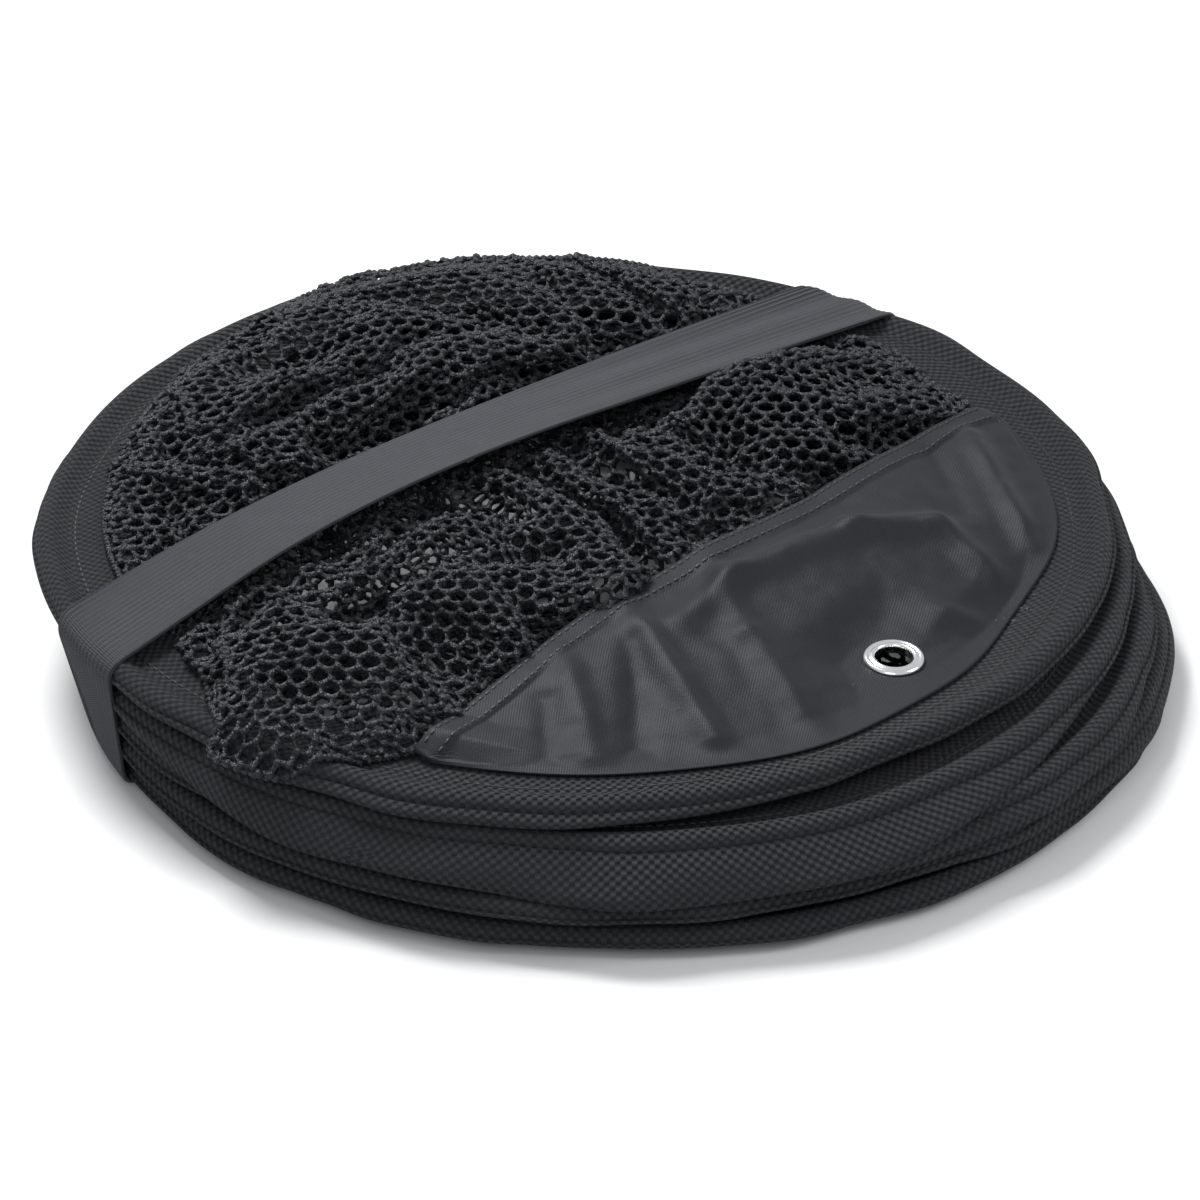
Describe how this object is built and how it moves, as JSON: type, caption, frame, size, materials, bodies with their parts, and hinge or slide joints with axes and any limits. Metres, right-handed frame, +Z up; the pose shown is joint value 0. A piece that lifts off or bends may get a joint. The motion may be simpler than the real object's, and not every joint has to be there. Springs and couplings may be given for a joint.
{
  "type": "folding crab trap",
  "caption": "Round collapsible crab trap packed flat: sprung hoops in webbing sleeves with netting between them, a half-moon nylon flap with an eyelet, and an elastic retaining band.",
  "frame": {"origin": "middle of the base, on the surface that the packed trap lies on", "axes": "+Z up, the way the trap unfolds; the flap lies towards +X and -Y, and the band runs from -X -Y to +X +Y"},
  "size_m": [0.376, 0.38, 0.0587],
  "materials": {
    "webbing": "coarse black woven polypropylene webbing",
    "netting": "black knotless polyester netting with round holes",
    "nylon": "charcoal coated oxford nylon with a satin sheen",
    "elastic": "charcoal ribbed flat elastic",
    "spring_steel": "galvanised spring wire",
    "plated_metal": "bright nickel plating"
  },
  "bodies": {
    "bottom": {"hoop_1_sleeve": "webbing", "hoop_1_wire": "spring_steel", "hoop_1_ferrule": "spring_steel", "wall_net_1": "netting", "bottom_net": "netting", "bait_pouch": "netting"},
    "second_hoop": {"hoop_2_sleeve": "webbing", "hoop_2_wire": "spring_steel", "hoop_2_ferrule": "spring_steel", "wall_net_2": "netting"},
    "third_hoop": {"hoop_3_sleeve": "webbing", "hoop_3_wire": "spring_steel", "hoop_3_ferrule": "spring_steel", "wall_net_3": "netting"},
    "fourth_hoop": {"hoop_4_sleeve": "webbing", "hoop_4_wire": "spring_steel", "hoop_4_ferrule": "spring_steel", "wall_net_4": "netting"},
    "top": {"hoop_5_sleeve": "webbing", "hoop_5_wire": "spring_steel", "hoop_5_ferrule": "spring_steel", "top_net": "netting", "nylon_flap": "nylon", "eyelet": "plated_metal", "eyelet_washer": "plated_metal"},
    "band": {"retaining_band": "elastic"}
  },
  "joints": [
    {"name": "unfold_second", "type": "slide", "parent": "bottom", "child": "second_hoop", "axis": [0.0147, -0.0179, 0.9997], "range_m": [0, 0.07662], "deforming": ["wall_net_1"]},
    {"name": "unfold_third", "type": "slide", "parent": "second_hoop", "child": "third_hoop", "axis": [0.044, -0.0537, 0.9976], "range_m": [0, 0.07679], "deforming": ["wall_net_2"]},
    {"name": "unfold_fourth", "type": "slide", "parent": "third_hoop", "child": "fourth_hoop", "axis": [0.0729, -0.0892, 0.9933], "range_m": [0, 0.07712], "deforming": ["wall_net_3"]},
    {"name": "unfold_top", "type": "slide", "parent": "fourth_hoop", "child": "top", "axis": [0.1015, -0.124, 0.9871], "range_m": [0, 0.07761], "deforming": ["wall_net_4"]},
    {"name": "band_off", "type": "slide", "parent": "bottom", "child": "band", "axis": [-0.682, 0.7314, 0], "range_m": [0, 0.165], "deforming": ["retaining_band"]}
  ],
  "couplings": [
    {"joint": "unfold_third", "follows": "unfold_second", "ratio": 1.0022},
    {"joint": "unfold_fourth", "follows": "unfold_second", "ratio": 1.0064},
    {"joint": "unfold_top", "follows": "unfold_second", "ratio": 1.0128},
    {"joint": "band_off", "follows": "unfold_second", "ratio": 2.1534}
  ]
}
